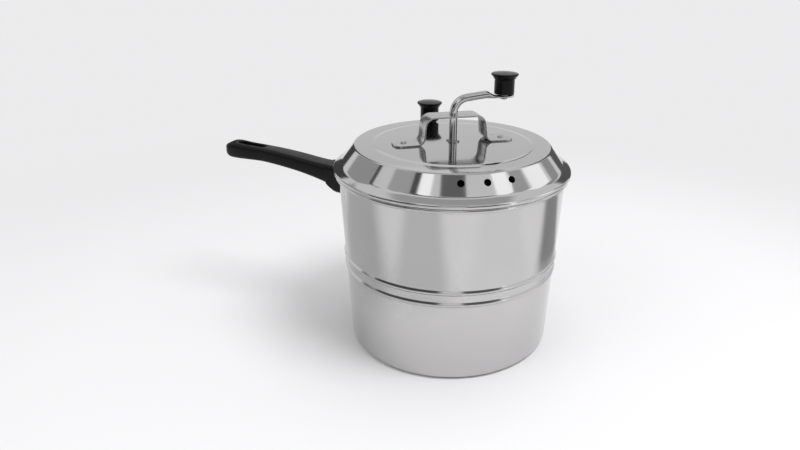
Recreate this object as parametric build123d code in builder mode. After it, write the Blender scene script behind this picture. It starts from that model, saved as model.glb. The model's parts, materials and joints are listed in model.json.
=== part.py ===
"""Stovetop popcorn popper: a beaded steel pan with a long moulded handle, and a lid that carries a crank.

Millimetres. The origin is the centre of the pan's underside, +Z is up and the handle points along -X.
"""

from build123d import *
import os
from math import atan, cos, radians, sin, sqrt, tan

# Pan: a pressed, slightly flared shell with two swaged beads and a rolled rim
pan_base_radius = 101.1
pan_flare = 0.0558  # radius gained for each millimetre of height
pan_wall = 1.0
pan_corner = 5.0
pan_rim_height = 176.0
rim_roll = 2.2
bead_heights = (81.4, 93.4)
bead_half_width = 2.3
bead_proud = 1.5
bead_bend = 1.6

# Lid: a faintly crowned top with one embossed ring, steep shoulder, sloping brim and rolled edge
lid_sheet = 0.9
lid_turn = 32.5  # degrees from +X to the strap bracket
lid_edge_radius = 95.4
lid_edge_height = 201.5
lid_ring_radius = 77.0
lid_ring_rise = 0.6
lid_crown = 0.9
shoulder_radius = 108.1
brim_angle = 29.0
lid_roll = 2.4
lid_roll_radius = 113.5
lid_roll_height = 178.4
vent_diameter = 6.5
vent_pitch = 13.2  # degrees between vents
vent_count = 3
vent_drop = 0.4  # how far down the shoulder the vents lie, as a share of its slope

# Strap bracket over the middle of the lid
strap_width = 22.0
strap_sheet = 1.5
strap_reach = 60.0
strap_leg_foot = 32.0
strap_leg_top = 30.0
strap_top_height = 229.8
strap_top_bend = 10.0
strap_foot_bend = 6.0
strap_corner = 8.0
strap_rivet_reach = 49.3
strap_rivet_radius = 2.0

# Crank rod, bent over above the strap, with a coined eye at its end
rod_radius = 3.85
running_gap = 0.08
rod_bottom = 5.0
arm_foot_height = 243.8  # where the rising arm would meet the rod's axis
arm_height = 247.5
arm_bend = 15.0
coin_start = 32.0
coin_end = 41.0
eye_reach = 51.0  # from the rod's axis to the knob's axis
eye_width = 13.0
eye_sheet = 3.0
eye_drop = 2.0  # how far the coined eye lies below the arm's end
eye_tip = 61.0

# Bush in the lid, and the clips and washer that hold the rod in it
bush_wall = 1.5
bush_flange = 2.7
bush_flange_sheet = 0.4
clip_radius = 6.2
clip_sheet = 0.6
clip_groove = 3.25
end_play = 0.2

# Stirrer wires
wire_radius = 1.8
lower_wire_reach = 88.0
lower_wire_height = 3.6
lower_wire_step = 9.5  # height at which the lower wire crosses the rod
upper_wire_reach = 52.0
upper_wire_step = 18.0

# Turned knobs: one pattern, used on the crank and on the lid
knob_foot_radius = 9.9
knob_neck_radius = 9.8
knob_neck_height = 14.2
knob_ring_radius = 11.5
knob_ring_height = 16.2
knob_cap_radius = 13.4
knob_cap_height = 18.0
knob_rim_height = 19.2
knob_edge = 0.5  # bevel between the cap's rim and its domed top
knob_height = 20.6
insert_radius = 3.6
insert_length = 12.0
knob_screw_radius = 2.4
shoulder_screw_radius = 3.2
knob_washer_sheet = 0.6
knob_washer_radius = 6.4
lid_knob_reach = 86.0
collar_height = 1.7
collar_radius = 7.6

# Handle: a riveted saddle with a tang, a moulded heat guard, and a swept-up grip with a hanging slot
saddle_low = 143.5
saddle_high = 160.0
saddle_half_width = 12.0
saddle_sheet = 1.6
saddle_rivet_height = 149.5
saddle_rivet_turn = 4.0  # degrees each side of the handle's plane
saddle_rivet_radius = 2.1
tang_height = 158.0
tang_sheet = 4.0
tang_width = 11.0
tang_reach = 152.0
guard_end = 131.6
handle_corner = 4.4
grip_screw_reach = 143.0
grip_screw_radius = 2.4
grip_screw_seat = 153.6
grip_screw_pocket = 4.2
grip_end = 248.8
slot_length = 31.0
slot_width = 8.5
slot_reach = 221.0  # from the pan's axis to the slot's centre

# Gaps between pieces
seat_gap = 0.05  # between pieces that bear on each other
snug_gap = 0.02  # round wires and rivets in their holes
hole_gap = 0.1  # round screws, and round rivets in sheet
socket_gap = 0.2  # between the tang and its socket, over both sides


def pan_radius(height):
    """Outside radius of the flared wall at a height."""
    return pan_base_radius + pan_flare * height


def lid_direction(turn):
    """Horizontal direction at an angle from the strap bracket."""
    angle = radians(lid_turn + turn)
    return Vector(cos(angle), sin(angle), 0)


def dome_sphere(edge_radius, rise):
    """Radius of the sphere whose cap has this edge radius and this rise."""
    return (edge_radius**2 + rise**2) / (2 * rise)


def dome_fall(reach, sphere):
    """How far a dome has fallen below its top at a distance from its axis."""
    return sphere - sqrt(sphere**2 - reach**2)


def turned(origin, direction, outline):
    """Revolve a closed outline of (radius, distance along the axis) points about an axis."""
    along = Vector(*direction).normalized()
    radial = along.cross(Vector(0, 1, 0.01)).normalized()
    with BuildSketch(Plane(origin=origin, x_dir=radial, z_dir=radial.cross(along))) as section:
        with BuildLine():
            Polyline(*outline, close=True)
        make_face()
    revolve(section.sketch, axis=Axis(origin, along))


def domed_rivet(origin, direction, shank, grip, head, dome, tail):
    """Rivet whose domed head seats at the origin, with its shank and flat tail behind it."""
    outline = [
        (0, dome),
        (0.5 * head, 0.86 * dome),
        (0.85 * head, 0.5 * dome),
        (head, 0),
        (shank, 0),
        (shank, -grip),
        (tail, -grip),
        (tail, -grip - 0.9),
        (0, -grip - 1.2),
    ]
    turned(origin, direction, outline)


def save(builder, name):
    """Label a finished piece and write its file."""
    builder.part.label = name
    export_step(builder.part, f"parts/{name}.step")


os.makedirs("parts", exist_ok=True)
strap_direction = lid_direction(0)
strap_plane = Plane(origin=(0, 0, 0), x_dir=strap_direction, z_dir=-lid_direction(90))

# ---- pan ---------------------------------------------------------------------------------------------------
rim_centre_height = pan_rim_height - rim_roll
rim_centre_radius = pan_radius(rim_centre_height) - pan_wall + rim_roll
wall_lean = atan(pan_flare)


def wall_point(height, turn, outward=0.0):
    """Point on the pan's outside at a height and an angle from the handle's plane."""
    angle = radians(180 + turn)
    reach = pan_radius(height) + outward * cos(wall_lean)
    return Vector(reach * cos(angle), reach * sin(angle), height - outward * sin(wall_lean))


def wall_normal(turn):
    """Outward normal of the flared wall."""
    angle = radians(180 + turn)
    level = cos(wall_lean)
    return Vector(level * cos(angle), level * sin(angle), -sin(wall_lean))


pan_outline = [(0, 0), (pan_base_radius, 0)]
pan_bends = [pan_corner]
for bead_height in bead_heights:
    for step, proud in ((-bead_half_width, 0.0), (0.0, bead_proud), (bead_half_width, 0.0)):
        pan_outline.append((pan_radius(bead_height + step) + proud, bead_height + step))
        pan_bends.append(bead_bend)
pan_outline.append((pan_radius(rim_centre_height), rim_centre_height))

with BuildPart() as pot_shell:
    with BuildSketch(Plane.XZ):
        with BuildLine():
            FilletPolyline(*pan_outline, radius=pan_bends)
            offset(amount=pan_wall, side=Side.LEFT)
        make_face()
        with Locations((rim_centre_radius, rim_centre_height)):
            Circle(rim_roll)
    revolve(axis=Axis.Z)
    for rivet_turn in (-saddle_rivet_turn, saddle_rivet_turn):
        hole_middle = wall_point(saddle_rivet_height, rivet_turn, -pan_wall / 2)
        with Locations(Plane(hole_middle, z_dir=wall_normal(rivet_turn))):
            Cylinder(saddle_rivet_radius + snug_gap, 4 * pan_wall, mode=Mode.SUBTRACT)
save(pot_shell, "pot_shell")

# ---- handle ------------------------------------------------------------------------------------------------
root_radius = pan_radius(tang_height)

with BuildPart() as handle_bracket:
    with BuildSketch(Plane.XZ):
        with BuildLine():
            Polyline(
                (pan_radius(saddle_low) + seat_gap, saddle_low),
                (pan_radius(saddle_high) + seat_gap, saddle_high),
                (pan_radius(saddle_high) + seat_gap + saddle_sheet, saddle_high),
                (pan_radius(saddle_low) + seat_gap + saddle_sheet, saddle_low),
                close=True,
            )
        make_face()
    revolve(axis=Axis.Z)
    with Locations((-root_radius, 0, (saddle_low + saddle_high) / 2)):
        Box(40, 2 * saddle_half_width, 40, mode=Mode.INTERSECT)
    with Locations((-(root_radius + 1.0 + tang_reach) / 2, 0, tang_height)):
        Box(tang_reach - root_radius - 1.0, tang_width, tang_sheet)
    fillet(handle_bracket.edges().filter_by(Axis.Z).group_by(Axis.X)[0], 3.0)
    for rivet_turn in (-saddle_rivet_turn, saddle_rivet_turn):
        with Locations(Plane(wall_point(saddle_rivet_height, rivet_turn), z_dir=wall_normal(rivet_turn))):
            Cylinder(saddle_rivet_radius + snug_gap, 20, mode=Mode.SUBTRACT)
    with Locations((-grip_screw_reach, 0, tang_height)):
        Cylinder(grip_screw_radius + snug_gap, 2 * tang_sheet, mode=Mode.SUBTRACT)
save(handle_bracket, "handle_bracket")

with BuildPart() as handle_rivets:
    for rivet_turn in (-saddle_rivet_turn, saddle_rivet_turn):
        domed_rivet(
            wall_point(saddle_rivet_height, rivet_turn, -pan_wall - 2 * seat_gap),
            -wall_normal(rivet_turn),
            saddle_rivet_radius,
            pan_wall + saddle_sheet + 5 * seat_gap,
            4.0,
            1.8,
            3.2,
        )
save(handle_rivets, "handle_rivets")


def handle_section(reach, width, low, high, corner):
    """Rounded section of the handle at a distance from the pan's axis."""
    plane = Plane((-reach, 0, (low + high) / 2), x_dir=(0, 1, 0), z_dir=(-1, 0, 0))
    with BuildSketch(plane) as section:
        RectangleRounded(width, high - low, corner)
    return section.sketch


with BuildPart() as handle_base:
    guard_sections = [
        handle_section(root_radius - 6.0, 33.0, 139.4, 165.6, handle_corner),
        handle_section(root_radius + 7.0, 29.0, 139.2, 166.4, handle_corner),
        handle_section(root_radius + 14.0, 26.6, 140.6, 167.2, handle_corner),
        handle_section(guard_end, 25.4, 146.4, 168.2, handle_corner),
    ]
    loft(guard_sections)
    # the inner end follows the pan's wall
    with BuildSketch(Plane.XZ):
        with BuildLine():
            Polyline(
                (0, saddle_low - 20),
                (pan_radius(saddle_low - 20) + 4 * seat_gap, saddle_low - 20),
                (pan_radius(saddle_high + 10) + 4 * seat_gap, saddle_high + 10),
                (0, saddle_high + 10),
                close=True,
            )
        make_face()
    revolve(axis=Axis.Z, mode=Mode.SUBTRACT)
    # pocket over the saddle and its rivets, and the socket for the tang
    with Locations((-(root_radius - 2.0), 0, (saddle_low + saddle_high) / 2)):
        Box(
            14.0,
            2 * (saddle_half_width + socket_gap),
            saddle_high - saddle_low + 3 * socket_gap,
            mode=Mode.SUBTRACT,
        )
    with Locations((-(root_radius + guard_end) / 2, 0, tang_height)):
        Box(guard_end - root_radius + 4.0, tang_width + socket_gap, tang_sheet + socket_gap, mode=Mode.SUBTRACT)
save(handle_base, "handle_base")

grip_start = guard_end + 2 * seat_gap
with BuildPart() as handle_grip:
    grip_sections = [
        handle_section(grip_start, 24.4, 147.6, 167.6, handle_corner),
        handle_section(139.8, 24.2, 150.4, 168.5, handle_corner),
        handle_section(148.0, 24.0, 152.8, 169.7, handle_corner),
        handle_section(158.5, 23.9, 155.6, 171.4, handle_corner),
        handle_section(170.0, 23.6, 158.0, 173.2, handle_corner),
        handle_section(190.0, 22.0, 161.2, 175.8, handle_corner),
        handle_section(207.0, 20.6, 163.0, 177.4, handle_corner),
        handle_section(224.0, 21.2, 163.4, 178.6, 4.6),
        handle_section(238.0, 21.6, 163.8, 180.0, 5.0),
        handle_section(245.0, 19.4, 164.8, 179.2, 5.0),
        handle_section(grip_end, 13.6, 167.2, 177.0, handle_corner),
    ]
    loft(grip_sections)
    with Locations((-(grip_start + tang_reach) / 2, 0, tang_height)):
        Box(tang_reach - grip_start + 1.0, tang_width + socket_gap, tang_sheet + socket_gap, mode=Mode.SUBTRACT)
    with BuildSketch(Plane.XY.offset(saddle_low)):
        with Locations((-slot_reach, 0)):
            SlotOverall(slot_length, slot_width)
    extrude(amount=50, mode=Mode.SUBTRACT)
    with BuildSketch(Plane.XY.offset(saddle_low)):
        with Locations((-grip_screw_reach, 0)):
            Circle(grip_screw_pocket)
    extrude(amount=grip_screw_seat - saddle_low, mode=Mode.SUBTRACT)
    with BuildSketch(Plane.XY.offset(saddle_low)):
        with Locations((-grip_screw_reach, 0)):
            Circle(grip_screw_radius + hole_gap)
    extrude(amount=tang_height + tang_sheet - saddle_low, mode=Mode.SUBTRACT)
save(handle_grip, "handle_grip")

with BuildPart() as handle_screw:
    turned(
        (-grip_screw_reach, 0, grip_screw_seat),
        (0, 0, -1),
        [
            (0, 0.9),
            (1.0, 0.9),
            (1.0, 2.1),
            (3.2, 1.9),
            (3.8, 1.2),
            (3.8, seat_gap),
            (grip_screw_radius, seat_gap),
            (grip_screw_radius, grip_screw_seat - tang_height - tang_sheet / 2 - 1.0),
            (0, grip_screw_seat - tang_height - tang_sheet / 2 - 1.0),
        ],
    )
save(handle_screw, "handle_screw")

# ---- lid ---------------------------------------------------------------------------------------------------
ring_top = lid_edge_height + 0.1 + lid_ring_rise
lid_top = ring_top + lid_crown
ring_inner_radius = lid_ring_radius - 1.0
crown_sphere = dome_sphere(ring_inner_radius, lid_crown)
brim_slope = radians(brim_angle)
roll_touch_radius = lid_roll_radius + lid_roll * sin(brim_slope)
roll_touch_height = lid_roll_height + lid_roll * cos(brim_slope)
shoulder_height = roll_touch_height + (roll_touch_radius - shoulder_radius) * tan(brim_slope)
shoulder_rise = lid_edge_height - shoulder_height
shoulder_run = shoulder_radius - lid_edge_radius
vent_radius = lid_edge_radius + vent_drop * shoulder_run
vent_height = lid_edge_height - vent_drop * shoulder_rise


def lid_surface(reach):
    """Height of the crowned top inside the embossed ring."""
    return lid_top - dome_fall(reach, crown_sphere)


with BuildPart() as lid_shell:
    with BuildSketch(Plane.XZ):
        with BuildLine():
            half_ring = ring_inner_radius / 2
            ThreePointArc((0, lid_top), (half_ring, lid_surface(half_ring)), (ring_inner_radius, ring_top))
            FilletPolyline(
                (ring_inner_radius, ring_top),
                (lid_ring_radius + 1, ring_top - lid_ring_rise),
                (lid_edge_radius, lid_edge_height),
                (shoulder_radius, shoulder_height),
                (roll_touch_radius, roll_touch_height),
                radius=[1.0, 2.5, 3.0],
            )
            offset(amount=lid_sheet, side=Side.RIGHT)
        make_face()
        with Locations((lid_roll_radius, lid_roll_height)):
            Circle(lid_roll)
    revolve(axis=Axis.Z)
    # centre hole for the bush, holes for the strap's rivets and for the knob's screw
    with Locations((0, 0, lid_top)):
        Cylinder(rod_radius + running_gap + bush_wall, 10, mode=Mode.SUBTRACT)
    for rivet_side in (0, 180):
        with Locations(lid_direction(rivet_side) * strap_rivet_reach + Vector(0, 0, lid_top)):
            Cylinder(strap_rivet_radius + hole_gap, 10, mode=Mode.SUBTRACT)
    with Locations(lid_direction(90) * lid_knob_reach + Vector(0, 0, lid_edge_height)):
        Cylinder(knob_screw_radius + hole_gap, 10, mode=Mode.SUBTRACT)
    for vent in range(vent_count):
        vent_direction = lid_direction(-90 + (vent - (vent_count - 1) / 2) * vent_pitch)
        vent_middle = vent_direction * vent_radius + Vector(0, 0, vent_height)
        vent_normal = vent_direction * shoulder_rise + Vector(0, 0, shoulder_run)
        with Locations(Plane(vent_middle, z_dir=vent_normal)):
            Cylinder(vent_diameter / 2, 12, mode=Mode.SUBTRACT)
save(lid_shell, "lid_shell")

foot_middle = (strap_reach + strap_leg_foot) / 2
foot_fall = foot_middle / crown_sphere  # slope of the crowned lid under each foot


def foot_height(reach):
    """Height of the top of the strap's foot, whose underside is tangent to the crowned lid."""
    return lid_surface(foot_middle) - foot_fall * (reach - foot_middle) + strap_sheet + seat_gap / 2


with BuildPart() as lid_bracket:
    with BuildSketch(strap_plane):
        with BuildLine():
            FilletPolyline(
                (-strap_reach, foot_height(strap_reach)),
                (-strap_leg_foot, foot_height(strap_leg_foot)),
                (-strap_leg_top, strap_top_height),
                (strap_leg_top, strap_top_height),
                (strap_leg_foot, foot_height(strap_leg_foot)),
                (strap_reach, foot_height(strap_reach)),
                radius=[strap_foot_bend, strap_top_bend, strap_top_bend, strap_foot_bend],
            )
            offset(amount=strap_sheet, side=Side.RIGHT)
        make_face()
    extrude(amount=strap_width / 2, both=True)
    # rounded feet
    with BuildSketch(Plane(origin=(0, 0, lid_edge_height - 5), x_dir=strap_direction, z_dir=(0, 0, 1))):
        RectangleRounded(2 * strap_reach, strap_width, strap_corner)
    extrude(amount=50, mode=Mode.INTERSECT)
    with Locations((0, 0, strap_top_height)):
        Cylinder(rod_radius + running_gap, 10, mode=Mode.SUBTRACT)
    for rivet_side in (0, 180):
        with Locations(lid_direction(rivet_side) * strap_rivet_reach + Vector(0, 0, lid_top)):
            Cylinder(strap_rivet_radius + hole_gap, 12, mode=Mode.SUBTRACT)
save(lid_bracket, "lid_bracket")

with BuildPart() as bracket_rivets:
    for rivet_side in (0, 180):
        rivet_out = lid_direction(rivet_side)
        domed_rivet(
            rivet_out * strap_rivet_reach + Vector(0, 0, foot_height(strap_rivet_reach) + seat_gap),
            rivet_out * foot_fall + Vector(0, 0, 1),
            strap_rivet_radius,
            strap_sheet + lid_sheet + 4 * seat_gap,
            3.1,
            2.0,
            3.0,
        )
save(bracket_rivets, "bracket_rivets")

bush_bore = rod_radius + running_gap
bush_radius = bush_bore + bush_wall
flange_top = lid_top + bush_flange_sheet
lip_bottom = lid_top - lid_sheet - 0.6
with BuildPart() as lid_bush:
    turned(
        (0, 0, 0),
        (0, 0, 1),
        [
            (bush_bore, lip_bottom),
            (bush_radius + 0.8, lip_bottom),
            (bush_radius + 0.8, lid_top - lid_sheet - seat_gap),
            (bush_radius, lid_top - lid_sheet - seat_gap),
            (bush_radius, lid_top),
            (bush_bore + bush_flange, lid_top),
            (bush_bore + bush_flange, flange_top - bush_flange_sheet / 3),
            (bush_bore + bush_flange - bush_flange_sheet / 3, flange_top),
            (bush_bore, flange_top),
        ],
    )
save(lid_bush, "lid_bush")


knob_dome_radius = knob_cap_radius - 2 * knob_edge
knob_dome_foot = knob_rim_height + knob_edge
knob_sphere = dome_sphere(knob_dome_radius, knob_height - knob_dome_foot)


def knob(origin):
    """Turned knob with a blind hole for its insert, standing on its foot at the origin."""
    with BuildSketch(Plane(origin=origin, x_dir=(1, 0, 0), z_dir=(0, -1, 0))) as section:
        with BuildLine():
            FilletPolyline(
                (insert_radius, 0),
                (knob_foot_radius, 0),
                (knob_neck_radius, knob_neck_height),
                (knob_ring_radius - 0.7, knob_neck_height + 0.6),
                (knob_ring_radius, knob_ring_height),
                (knob_cap_radius - 0.3, knob_cap_height - 0.6),
                (knob_cap_radius, knob_rim_height),
                (knob_dome_radius, knob_dome_foot),
                radius=[0.5, 0.3, 0.3, 0.3, 0.3, 0.3],
            )
            ThreePointArc(
                (knob_dome_radius, knob_dome_foot),
                (knob_dome_radius / 2, knob_height - dome_fall(knob_dome_radius / 2, knob_sphere)),
                (0, knob_height),
            )
            Polyline((0, knob_height), (0, insert_length + 1), (insert_radius, insert_length + 1))
            Line((insert_radius, insert_length + 1), (insert_radius, 0))
        make_face()
    revolve(section.sketch, axis=Axis(origin, (0, 0, 1)))


def threaded_insert(origin):
    """Metal tube moulded into a knob."""
    turned(
        origin,
        (0, 0, 1),
        [
            (knob_screw_radius, 0),
            (insert_radius, 0),
            (insert_radius, insert_length),
            (knob_screw_radius, insert_length),
        ],
    )


lid_knob_foot = lid_direction(90) * lid_knob_reach + Vector(0, 0, lid_edge_height + 2 * seat_gap)
lid_knob_seat = lid_knob_foot + Vector(0, 0, collar_height + seat_gap)
with BuildPart() as lid_knob:
    knob(lid_knob_seat)
save(lid_knob, "lid_knob")

with BuildPart() as lid_knob_insert:
    threaded_insert(lid_knob_seat)
save(lid_knob_insert, "lid_knob_insert")

with BuildPart() as lid_knob_spacer:
    turned(
        lid_knob_foot,
        (0, 0, 1),
        [
            (knob_screw_radius + hole_gap, 0),
            (collar_radius, 0),
            (collar_radius, collar_height),
            (knob_screw_radius + hole_gap, collar_height),
        ],
    )
save(lid_knob_spacer, "lid_knob_spacer")

with BuildPart() as lid_knob_screw:
    screw_head_seat = -2 * seat_gap - lid_sheet - seat_gap
    turned(
        lid_knob_foot,
        (0, 0, 1),
        [
            (0, screw_head_seat - 1.0),
            (1.2, screw_head_seat - 1.0),
            (1.2, screw_head_seat - 2.4),
            (3.4, screw_head_seat - 2.1),
            (4.5, screw_head_seat - 0.8),
            (4.5, screw_head_seat),
            (knob_screw_radius, screw_head_seat),
            (knob_screw_radius, collar_height + insert_length - 3),
            (0, collar_height + insert_length - 3),
        ],
    )
save(lid_knob_screw, "lid_knob_screw")

# ---- crank -------------------------------------------------------------------------------------------------
upper_clip_low = flange_top + end_play
washer_top = lip_bottom - end_play
lower_clip_top = washer_top - clip_sheet
eye_middle = arm_height - eye_drop
eye_spot = strap_direction * eye_reach

with BuildPart() as crank_rod:
    with BuildLine(strap_plane) as rod_line:
        FilletPolyline((0, rod_bottom), (0, arm_foot_height), (coin_start, arm_height), radius=arm_bend)
    with BuildSketch(Plane.XY.offset(rod_bottom)):
        Circle(rod_radius)
    sweep()
    # coined end: the round bar flattens and widens into the eye
    with BuildSketch(
        Plane(
            strap_direction * coin_start + Vector(0, 0, arm_height),
            x_dir=lid_direction(90),
            z_dir=strap_direction * coin_start + Vector(0, 0, arm_height - arm_foot_height),
        )
    ):
        Circle(rod_radius)
    with BuildSketch(
        Plane(
            strap_direction * coin_end + Vector(0, 0, eye_middle),
            x_dir=lid_direction(90),
            z_dir=strap_direction,
        )
    ):
        SlotOverall(eye_width, eye_sheet)
    loft()
    with BuildSketch(
        Plane(origin=(0, 0, eye_middle - eye_sheet / 2), x_dir=strap_direction, z_dir=(0, 0, 1))
    ):
        with Locations(((coin_end + eye_tip - eye_width / 2) / 2, 0)):
            Rectangle(eye_tip - eye_width / 2 - coin_end, eye_width)
        with Locations((eye_tip - eye_width / 2, 0)):
            Circle(eye_width / 2)
        with Locations((eye_reach, 0)):
            Circle(shoulder_screw_radius + running_gap, mode=Mode.SUBTRACT)
    extrude(amount=eye_sheet)
    # grooves for the clips
    for groove_low in (upper_clip_low, lower_clip_top - clip_sheet):
        with BuildSketch(Plane.XY.offset(groove_low)):
            Circle(rod_radius + 1)
            Circle(clip_groove, mode=Mode.SUBTRACT)
        extrude(amount=clip_sheet, mode=Mode.SUBTRACT)
    # cross holes for the stirrer wires
    with Locations(Plane((0, 0, lower_wire_step), z_dir=lid_direction(0))):
        Cylinder(wire_radius + snug_gap, 20, mode=Mode.SUBTRACT)
    with Locations(Plane((0, 0, upper_wire_step), z_dir=lid_direction(90))):
        Cylinder(wire_radius + snug_gap, 20, mode=Mode.SUBTRACT)
save(crank_rod, "crank_rod")


def retaining_clip(low):
    """Open retaining clip that snaps into a groove of the rod."""
    with BuildSketch(Plane(origin=(0, 0, low), x_dir=strap_direction, z_dir=(0, 0, 1))) as section:
        Circle(clip_radius)
        Circle(clip_groove, mode=Mode.SUBTRACT)
        with Locations((-clip_radius, 0)):
            Rectangle(2 * clip_radius, 1.5 * clip_groove, mode=Mode.SUBTRACT)
        for lobe_side in (-50, 50):
            with PolarLocations(clip_groove + 1.2, 1, start_angle=lobe_side):
                Circle(0.9, mode=Mode.SUBTRACT)
    extrude(section.sketch, amount=clip_sheet)


with BuildPart() as rod_clip_upper:
    retaining_clip(upper_clip_low)
save(rod_clip_upper, "rod_clip_upper")

with BuildPart() as rod_clip_lower:
    retaining_clip(lower_clip_top - clip_sheet)
save(rod_clip_lower, "rod_clip_lower")

with BuildPart() as rod_washer:
    with BuildSketch(Plane.XY.offset(lower_clip_top)):
        Circle(clip_radius + 1.2)
        Circle(rod_radius + seat_gap, mode=Mode.SUBTRACT)
    extrude(amount=clip_sheet)
save(rod_washer, "rod_washer")


def bent_wire(points, bends):
    """Round wire along a route of straight runs and bends, given in the lid's directions."""
    route = [strap_direction * a + lid_direction(90) * b + Vector(0, 0, c) for a, b, c in points]
    with BuildLine() as wire_line:
        FilletPolyline(*route, radius=bends)
    with BuildSketch(Plane(origin=wire_line.line @ 0, z_dir=wire_line.line % 0)) as section:
        Circle(wire_radius)
    sweep(section.sketch, path=wire_line.wires()[0])


hook = 0.79 * lower_wire_reach
lower_arm = [
    (hook, -0.3 * lower_wire_reach, lower_wire_height),
    (lower_wire_reach, 0, lower_wire_height),
    (24.0, 0, lower_wire_height),
    (14.0, 0, lower_wire_step),
]
with BuildPart() as stirrer_wire_lower:
    bent_wire(lower_arm + [(-a, -b, c) for a, b, c in reversed(lower_arm)], [9, 8, 8, 8, 8, 9])
save(stirrer_wire_lower, "stirrer_wire_lower")

with BuildPart() as stirrer_wire_upper:
    upper_arm = [
        (0, upper_wire_reach + 8.0, lower_wire_height + 3.0),
        (0, upper_wire_reach, upper_wire_step),
    ]
    bent_wire(upper_arm + [(a, -b, c) for a, b, c in reversed(upper_arm)], [7, 7])
save(stirrer_wire_upper, "stirrer_wire_upper")

eye_top = eye_middle + eye_sheet / 2
with BuildPart() as knob_washer:
    with BuildSketch(Plane.XY.offset(eye_top)):
        with Locations((eye_spot.X, eye_spot.Y)):
            Circle(knob_washer_radius)
            Circle(shoulder_screw_radius + hole_gap, mode=Mode.SUBTRACT)
    extrude(amount=knob_washer_sheet)
save(knob_washer, "knob_washer")

# ---- crank knob --------------------------------------------------------------------------------------------
knob_seat = eye_spot + Vector(0, 0, eye_top + knob_washer_sheet + end_play)
with BuildPart() as crank_knob:
    knob(knob_seat)
save(crank_knob, "crank_knob")

with BuildPart() as knob_insert:
    threaded_insert(knob_seat)
save(knob_insert, "knob_insert")

screw_seat = knob_seat - Vector(0, 0, knob_washer_sheet + 2 * end_play + eye_sheet)
shoulder_length = knob_washer_sheet + 2 * end_play + eye_sheet
with BuildPart() as knob_screw:
    turned(
        screw_seat,
        (0, 0, 1),
        [
            (0, -1.8),
            (2.4, -1.6),
            (3.6, -1.0),
            (4.0, 0),
            (shoulder_screw_radius, 0),
            (shoulder_screw_radius, shoulder_length),
            (knob_screw_radius, shoulder_length),
            (knob_screw_radius, shoulder_length + insert_length - 2),
            (0, shoulder_length + insert_length - 2),
        ],
    )
save(knob_screw, "knob_screw")
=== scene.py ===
"""Looks of a stovetop popcorn popper, laid out as an add-on: one operator for each group of pieces, called by main.

Metres, in the frame of the packed model: +Z is up and the handle points along -X.
"""

import json
from math import asin, atan, cos, pi, radians, sin, sqrt, tan

import bmesh
import bpy
from bpy.props import FloatProperty, FloatVectorProperty, IntProperty, PointerProperty
from mathutils import Matrix, Vector


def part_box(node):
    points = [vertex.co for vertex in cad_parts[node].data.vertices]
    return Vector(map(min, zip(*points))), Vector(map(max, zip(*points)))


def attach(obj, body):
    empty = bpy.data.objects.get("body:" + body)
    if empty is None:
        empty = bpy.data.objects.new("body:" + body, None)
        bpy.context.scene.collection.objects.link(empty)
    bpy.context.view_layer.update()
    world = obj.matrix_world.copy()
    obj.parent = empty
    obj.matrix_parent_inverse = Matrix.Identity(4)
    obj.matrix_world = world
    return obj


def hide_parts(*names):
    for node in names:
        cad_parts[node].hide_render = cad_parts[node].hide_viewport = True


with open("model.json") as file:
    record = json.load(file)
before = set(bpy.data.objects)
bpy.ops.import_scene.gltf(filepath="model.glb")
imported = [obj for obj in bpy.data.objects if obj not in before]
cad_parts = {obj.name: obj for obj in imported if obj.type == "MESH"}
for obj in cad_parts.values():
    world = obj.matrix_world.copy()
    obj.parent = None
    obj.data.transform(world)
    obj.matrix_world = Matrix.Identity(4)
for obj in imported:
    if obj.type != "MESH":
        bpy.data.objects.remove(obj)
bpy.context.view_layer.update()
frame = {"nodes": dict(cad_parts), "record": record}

bl_info = {
    "name": "Popcorn popper",
    "version": (1, 0, 0),
    "blender": (4, 5, 0),
    "location": "View3D > Sidebar > Popper",
    "description": "Builds the looks of a stovetop popcorn popper around its packed frame",
    "category": "Add Mesh",
}

MM = 0.001
PHOTO_WIDTH = 800

# bends and steps of the spun sheets
BEAD_CREST_BEND = 0.8 * MM
BEAD_FOOT_BEND = 1.6 * MM
RING_HALF_SLOPE = 1.0 * MM  # half the width of the embossed ring's step
LID_BENDS = (1.0 * MM, 2.5 * MM, 8.0 * MM)  # at the ring, the top's edge and the foot of the shoulder
PAN_ROLL_TURN = radians(285)
LID_ROLL_TURN = radians(300)
ROLL_STEPS = 26
PAN_STEPS = 256
LID_STEPS = 288
STRAP_EDGE = 0.3 * MM
ROD_PLAY = 0.08 * MM

# sections along the rod
ROD_CHAMFER = 0.6 * MM
ROD_END_SHARE = 0.86  # width of the chamfered end beside the rod's
BEND_STEPS = 14
COIN_STEPS = 8
EYE_STEPS = 13
EYE_SWELL = 1.25  # height of the eye's sections beside its sheet, before they are pressed flat

KNOB_BENDS = (0.5 * MM, *[0.3 * MM] * 5)
GUARD_GAP = 0.2 * MM  # between the heat guard and the pan's wall


# ---- sizes and colours that a user would change ----
def size(name, description, default):
    """A length in metres, given here in millimetres."""
    return FloatProperty(name=name, description=description, default=default * MM, unit="LENGTH", precision=5)


def turn(name, description, default):
    """An angle, given here in degrees."""
    return FloatProperty(name=name, description=description, default=radians(default), unit="ROTATION")


def share(name, description, default):
    """A number between nought and one."""
    return FloatProperty(name=name, description=description, default=default, min=0.0, max=1.0, subtype="FACTOR")


def colour(name, description, default):
    """A linear colour."""
    limits = {"min": 0.0, "max": 1.0}
    return FloatVectorProperty(name=name, description=description, default=default, subtype="COLOR", size=3, **limits)


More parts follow.
